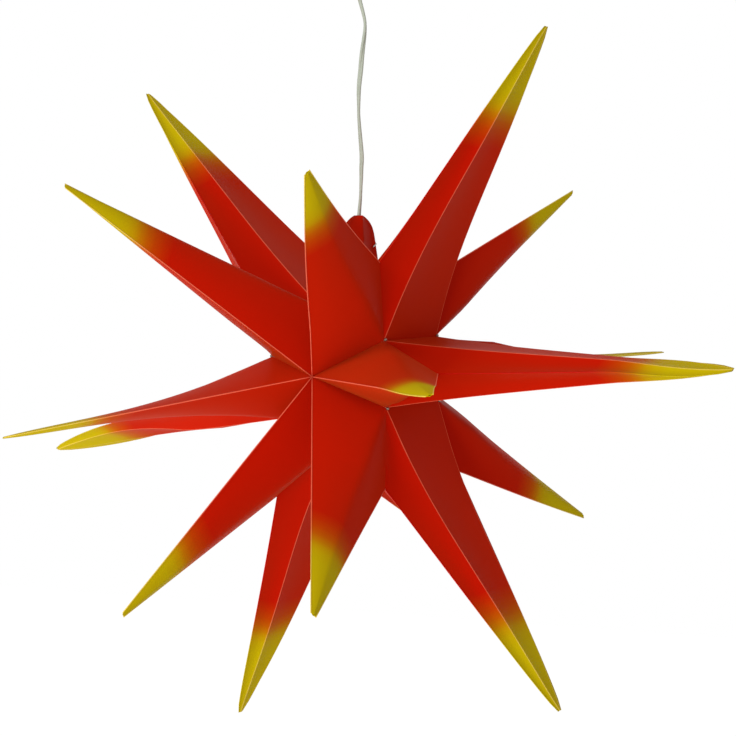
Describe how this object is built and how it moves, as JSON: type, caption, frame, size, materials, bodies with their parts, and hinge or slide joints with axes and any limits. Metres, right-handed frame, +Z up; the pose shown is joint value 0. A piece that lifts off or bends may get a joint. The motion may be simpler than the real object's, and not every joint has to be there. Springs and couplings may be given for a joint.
{
  "type": "hanging LED star lamp",
  "caption": "Folding many-pointed star of red satin film with yellow points, an LED lamp inside, hanging from a ceiling rose on a flat twin cord.",
  "frame": {"origin": "Middle of the ceiling face of the ceiling rose; the cord drops from it along -Z to the middle of the star.", "axes": "+Z is up, out of the ceiling face. The star's pole axis, on which all its folds meet, runs along Y and dips 3 degrees to the front; the front pole faces -Y. +X is to the right when the star is seen from the front."},
  "size_m": [0.7417, 0.6045, 0.7592],
  "materials": {
    "red_film": "satin translucent film, yellow towards the points",
    "wire_steel": "plain",
    "cord_sheath": "soft satin sheath",
    "white_moulding": "satin",
    "cream_moulding": "plain",
    "contact_brass": "plain",
    "cap_nickel": "nickel plated",
    "black_glass": "opaque black",
    "board_white": "solder mask",
    "led_phosphor": "soft resin",
    "opal_globe": "opal"
  },
  "bodies": {
    "rose": {"rose_base": "white_moulding", "cord_anchor": "cream_moulding", "anchor_screws": "wire_steel", "terminal_block": "cream_moulding", "terminal_screws": "contact_brass", "cord_tail": "cord_sheath"},
    "cover": {"rose_cover": "white_moulding"},
    "bend": {"cord_bend": "cord_sheath"},
    "drop": {"cord": "cord_sheath", "cord_stop": "white_moulding", "stop_screw": "wire_steel", "holder_dome": "white_moulding", "neck_screw": "white_moulding", "holder_insert": "cream_moulding", "holder_thread": "contact_brass", "holder_contact": "contact_brass", "holder_terminals": "contact_brass"},
    "barrel": {"holder_barrel": "white_moulding"},
    "lamp": {"lamp_cap": "cap_nickel", "cap_glass": "black_glass", "cap_contact": "cap_nickel", "lamp_collar": "white_moulding", "led_board": "board_white", "led_chips": "led_phosphor", "lamp_globe": "opal_globe"},
    "star": {"leaf_01": "red_film", "leaf_02": "red_film", "leaf_03": "red_film", "leaf_04": "red_film", "leaf_05": "red_film", "leaf_06": "red_film", "leaf_07": "red_film", "leaf_08": "red_film", "leaf_09": "red_film", "leaf_10": "red_film", "leaf_11": "red_film", "leaf_12": "red_film", "leaf_rivets": "wire_steel"},
    "front_clip": {"clip_front": "wire_steel"},
    "back_clip": {"clip_back": "wire_steel"}
  },
  "joints": [
    {"name": "cover_turn", "type": "hinge", "parent": "rose", "child": "cover", "pos_m": [0, 0, -0.02], "axis": [0, 0, 1], "continuous": true},
    {"name": "swing_sideways", "type": "hinge", "parent": "rose", "child": "bend", "pos_m": [0, 0, -0.0308], "axis": [0, 1, 0], "range_deg": [-8, 8]},
    {"name": "swing_front_back", "type": "hinge", "parent": "bend", "child": "drop", "pos_m": [0, 0, -0.0348], "axis": [1, 0, 0], "range_deg": [-8, 8]},
    {"name": "barrel_turn", "type": "hinge", "parent": "drop", "child": "barrel", "pos_m": [0, 0, -0.368], "axis": [0, 0, 1], "continuous": true},
    {"name": "lamp_out", "type": "slide", "parent": "drop", "child": "lamp", "axis": [0, 0, -1], "range_m": [0, 0.018]},
    {"name": "star_turn", "type": "hinge", "parent": "drop", "child": "star", "pos_m": [0, 0, -0.2854], "axis": [0, 0, 1], "continuous": true},
    {"name": "front_clip_off", "type": "slide", "parent": "star", "child": "front_clip", "axis": [0, -0.8835, 0.4684], "range_m": [0, 0.012]},
    {"name": "back_clip_off", "type": "slide", "parent": "star", "child": "back_clip", "axis": [0, 0.902, 0.4318], "range_m": [0, 0.012]}
  ]
}
